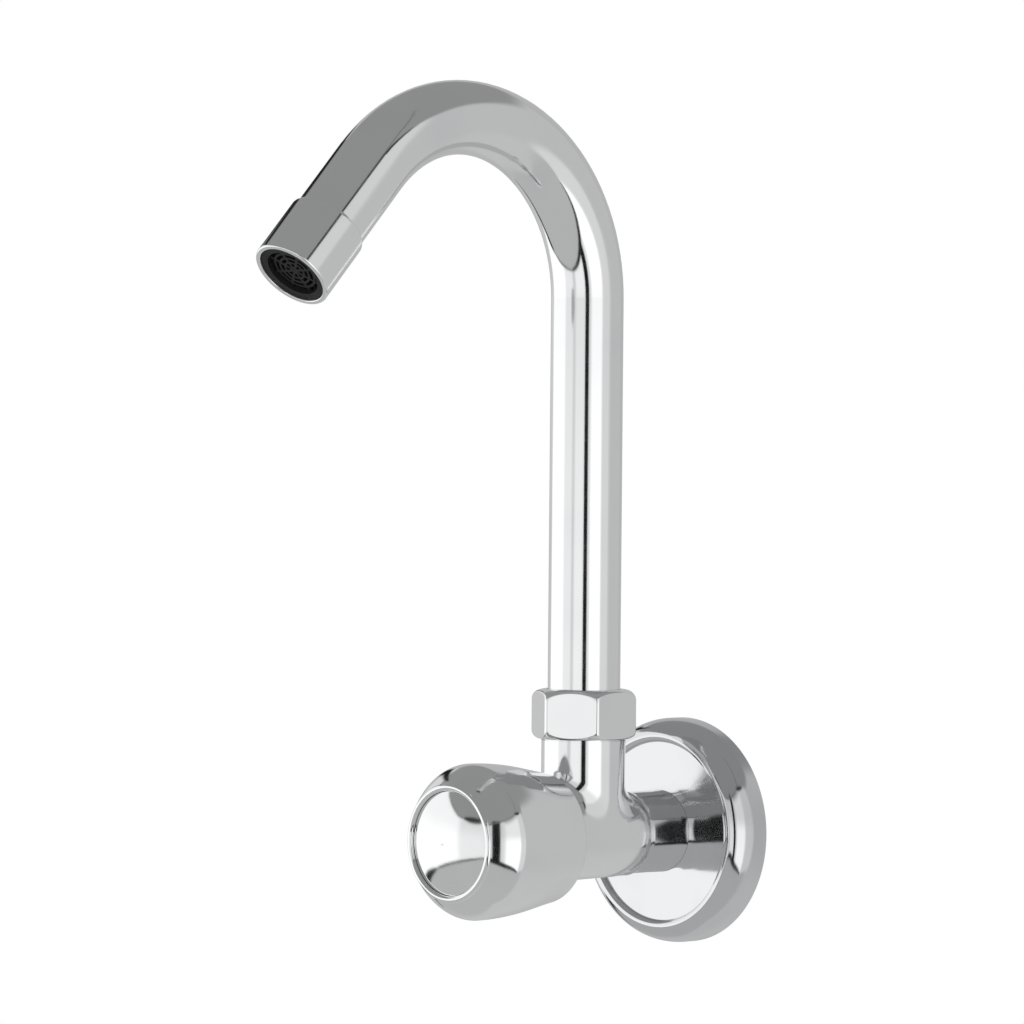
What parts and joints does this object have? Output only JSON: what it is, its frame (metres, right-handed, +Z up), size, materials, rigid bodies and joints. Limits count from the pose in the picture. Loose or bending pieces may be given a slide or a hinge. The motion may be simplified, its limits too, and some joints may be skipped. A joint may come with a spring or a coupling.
{
  "type": "wall faucet",
  "caption": "Chromed single wall tap with a round flange, a smooth round knob, and a swan-neck spout held by a hexagon nut, ending in an aerator.",
  "frame": {"origin": "middle of the inlet shank on the wall plane, where the flange's rim stands", "axes": "+Y into the wall along the inlet, so the tap points along -Y; +Z up along the riser; +X to the right of someone who faces the wall"},
  "size_m": [0.0692, 0.1866, 0.2602],
  "materials": {
    "chrome": "polished",
    "brass": "machined",
    "rubber": "matte",
    "nylon": "matte",
    "black_plastic": "satin",
    "steel": "brushed"
  },
  "bodies": {
    "wall_body": {"valve_body": "chrome", "wall_flange": "chrome", "headwork_bonnet": "brass", "bonnet_seal": "rubber", "spout_nut": "chrome", "slip_ring": "nylon"},
    "handle": {"knob": "chrome", "knob_cap": "chrome", "cap_ring": "rubber", "knob_screw": "steel", "knob_screw_washer": "steel", "spindle": "brass", "spindle_o_rings": "rubber", "thrust_washer": "brass", "spindle_circlip": "steel"},
    "valve": {"valve_carrier": "brass", "valve_washer": "rubber", "washer_screw": "brass"},
    "spout": {"spout_tube": "chrome", "spout_tail": "brass", "spout_o_rings": "rubber", "outlet_bush": "brass", "aerator_housing": "chrome", "aerator_gasket": "rubber", "aerator_insert": "black_plastic", "aerator_screens": "steel", "aerator_diffuser": "black_plastic"}
  },
  "joints": [
    {"name": "handle_turn", "type": "hinge", "parent": "wall_body", "child": "handle", "pos_m": [0, -0.07, 0], "axis": [0, -1, 0], "range_deg": [0, 540]},
    {"name": "valve_travel", "type": "slide", "parent": "wall_body", "child": "valve", "axis": [0, -1, 0], "range_m": [0, 0.0045]},
    {"name": "spout_swivel", "type": "hinge", "parent": "wall_body", "child": "spout", "pos_m": [0, -0.0446, 0.036], "axis": [0, 0, 1], "range_deg": [-100, 100]}
  ],
  "couplings": [
    {"joint": "valve_travel", "follows": "handle_turn", "m_per_rad": 0.00047746}
  ]
}
